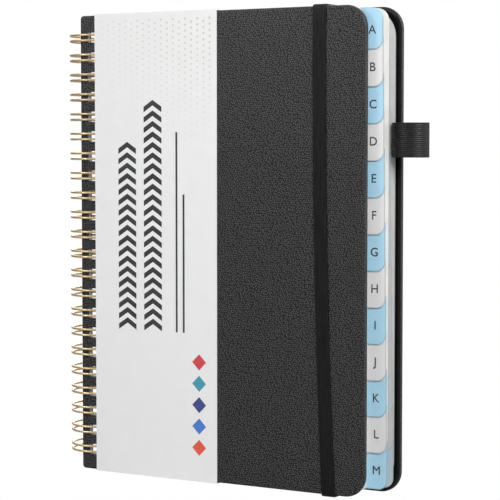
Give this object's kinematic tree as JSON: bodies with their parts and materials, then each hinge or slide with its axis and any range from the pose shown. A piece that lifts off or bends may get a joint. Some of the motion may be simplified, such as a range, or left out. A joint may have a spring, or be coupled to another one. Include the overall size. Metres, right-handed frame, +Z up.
{
  "type": "address book",
  "caption": "Twin-loop wire-bound hardcover address book with stepped index dividers, elastic closure, pen loop and a paper sleeve round the front cover.",
  "frame": {"origin": "under the middle of the bounding box, on the surface the book stands on; the wire's axis is at X -72.6 mm, Y 0", "axes": "+Z up along the spine, +X from the wire to the fore edge, +Y from the front cover to the back cover"},
  "size_m": [0.1702, 0.025, 0.1976],
  "materials": {
    "leathercloth": "black, fine pebble grain, satin",
    "board": "grey bookbinding board",
    "endpaper": "black, matt",
    "coated_wire": "pale champagne gold, satin",
    "sleeve_paper": "white, smooth",
    "elastic": "black woven elastic, fine ribs",
    "leaf_paper": "white, uncoated",
    "divider_blue": "light blue tabs",
    "divider_grey": "grey-white tabs",
    "divider_ice": "pale ice blue tabs",
    "divider_white": "white tabs",
    "card": "white card"
  },
  "bodies": {
    "back_cover": {"back_leather": "leathercloth", "back_board": "board", "back_endpaper": "endpaper", "binding_wire": "coated_wire", "elastic_closure": "elastic", "pen_loop": "elastic"},
    "front_cover": {"front_leather": "leathercloth", "front_board": "board", "front_endpaper": "endpaper"},
    "sleeve": {"paper_sleeve": "sleeve_paper"},
    "front_leaves": {"front_leaves": "leaf_paper"},
    "section_ab": {"divider_a": "divider_blue", "divider_b": "divider_grey", "leaves_ab": "leaf_paper"},
    "section_cd": {"divider_c": "divider_blue", "divider_d": "divider_grey", "leaves_cd": "leaf_paper"},
    "section_ef": {"divider_e": "divider_blue", "divider_f": "divider_grey", "leaves_ef": "leaf_paper"},
    "section_gh": {"divider_g": "divider_blue", "divider_h": "divider_grey", "leaves_gh": "leaf_paper"},
    "section_ij": {"divider_i": "divider_blue", "divider_j": "divider_grey", "leaves_ij": "leaf_paper"},
    "section_kl": {"divider_k": "divider_blue", "divider_l": "divider_grey", "leaves_kl": "leaf_paper"},
    "section_mn": {"divider_m": "divider_blue", "divider_n": "divider_ice", "leaves_mn": "leaf_paper"},
    "section_op": {"divider_o": "divider_white", "divider_p": "divider_ice", "leaves_op": "leaf_paper"},
    "section_qr": {"divider_q": "divider_white", "divider_r": "divider_ice", "leaves_qr": "leaf_paper"},
    "section_st": {"divider_s": "divider_white", "divider_t": "divider_ice", "leaves_st": "leaf_paper"},
    "section_uv": {"divider_u": "divider_white", "divider_v": "divider_ice", "leaves_uv": "leaf_paper"},
    "section_wx": {"divider_w": "divider_white", "divider_x": "divider_ice", "leaves_wx": "leaf_paper"},
    "section_yz": {"divider_y": "divider_white", "divider_z": "divider_ice", "leaves_yz": "leaf_paper", "end_card": "card"}
  },
  "joints": [
    {"name": "cover_hinge", "type": "hinge", "parent": "back_cover", "child": "front_cover", "pos_m": [-0.07262, 0, 0], "axis": [0, 0, -1], "range_deg": [0, 180], "deforming": ["elastic_closure"]},
    {"name": "front_leaves_turn", "type": "hinge", "parent": "back_cover", "child": "front_leaves", "pos_m": [-0.07262, 0, 0], "axis": [0, 0, -1], "range_deg": [0, 180]},
    {"name": "section_ab_turn", "type": "hinge", "parent": "back_cover", "child": "section_ab", "pos_m": [-0.07262, 0, 0], "axis": [0, 0, -1], "range_deg": [0, 180]},
    {"name": "section_cd_turn", "type": "hinge", "parent": "back_cover", "child": "section_cd", "pos_m": [-0.07262, 0, 0], "axis": [0, 0, -1], "range_deg": [0, 180]},
    {"name": "section_ef_turn", "type": "hinge", "parent": "back_cover", "child": "section_ef", "pos_m": [-0.07262, 0, 0], "axis": [0, 0, -1], "range_deg": [0, 180]},
    {"name": "section_gh_turn", "type": "hinge", "parent": "back_cover", "child": "section_gh", "pos_m": [-0.07262, 0, 0], "axis": [0, 0, -1], "range_deg": [0, 180]},
    {"name": "section_ij_turn", "type": "hinge", "parent": "back_cover", "child": "section_ij", "pos_m": [-0.07262, 0, 0], "axis": [0, 0, -1], "range_deg": [0, 180]},
    {"name": "section_kl_turn", "type": "hinge", "parent": "back_cover", "child": "section_kl", "pos_m": [-0.07262, 0, 0], "axis": [0, 0, -1], "range_deg": [0, 180]},
    {"name": "section_mn_turn", "type": "hinge", "parent": "back_cover", "child": "section_mn", "pos_m": [-0.07262, 0, 0], "axis": [0, 0, -1], "range_deg": [0, 180]},
    {"name": "section_op_turn", "type": "hinge", "parent": "back_cover", "child": "section_op", "pos_m": [-0.07262, 0, 0], "axis": [0, 0, -1], "range_deg": [0, 180]},
    {"name": "section_qr_turn", "type": "hinge", "parent": "back_cover", "child": "section_qr", "pos_m": [-0.07262, 0, 0], "axis": [0, 0, -1], "range_deg": [0, 180]},
    {"name": "section_st_turn", "type": "hinge", "parent": "back_cover", "child": "section_st", "pos_m": [-0.07262, 0, 0], "axis": [0, 0, -1], "range_deg": [0, 180]},
    {"name": "section_uv_turn", "type": "hinge", "parent": "back_cover", "child": "section_uv", "pos_m": [-0.07262, 0, 0], "axis": [0, 0, -1], "range_deg": [0, 180]},
    {"name": "section_wx_turn", "type": "hinge", "parent": "back_cover", "child": "section_wx", "pos_m": [-0.07262, 0, 0], "axis": [0, 0, -1], "range_deg": [0, 180]},
    {"name": "section_yz_turn", "type": "hinge", "parent": "back_cover", "child": "section_yz", "pos_m": [-0.07262, 0, 0], "axis": [0, 0, -1], "range_deg": [0, 180]},
    {"name": "sleeve_slide", "type": "slide", "parent": "front_cover", "child": "sleeve", "axis": [1, 0, 0], "range_m": [0, 0.135]}
  ],
  "couplings": [
    {"joint": "front_leaves_turn", "follows": "cover_hinge", "ratio": 0.93333},
    {"joint": "section_ab_turn", "follows": "cover_hinge", "ratio": 0.86667},
    {"joint": "section_cd_turn", "follows": "cover_hinge", "ratio": 0.8},
    {"joint": "section_ef_turn", "follows": "cover_hinge", "ratio": 0.73333},
    {"joint": "section_gh_turn", "follows": "cover_hinge", "ratio": 0.66667},
    {"joint": "section_ij_turn", "follows": "cover_hinge", "ratio": 0.6},
    {"joint": "section_kl_turn", "follows": "cover_hinge", "ratio": 0.53333},
    {"joint": "section_mn_turn", "follows": "cover_hinge", "ratio": 0.46667},
    {"joint": "section_op_turn", "follows": "cover_hinge", "ratio": 0.4},
    {"joint": "section_qr_turn", "follows": "cover_hinge", "ratio": 0.33333},
    {"joint": "section_st_turn", "follows": "cover_hinge", "ratio": 0.26667},
    {"joint": "section_uv_turn", "follows": "cover_hinge", "ratio": 0.2},
    {"joint": "section_wx_turn", "follows": "cover_hinge", "ratio": 0.13333},
    {"joint": "section_yz_turn", "follows": "cover_hinge", "ratio": 0.066667}
  ]
}
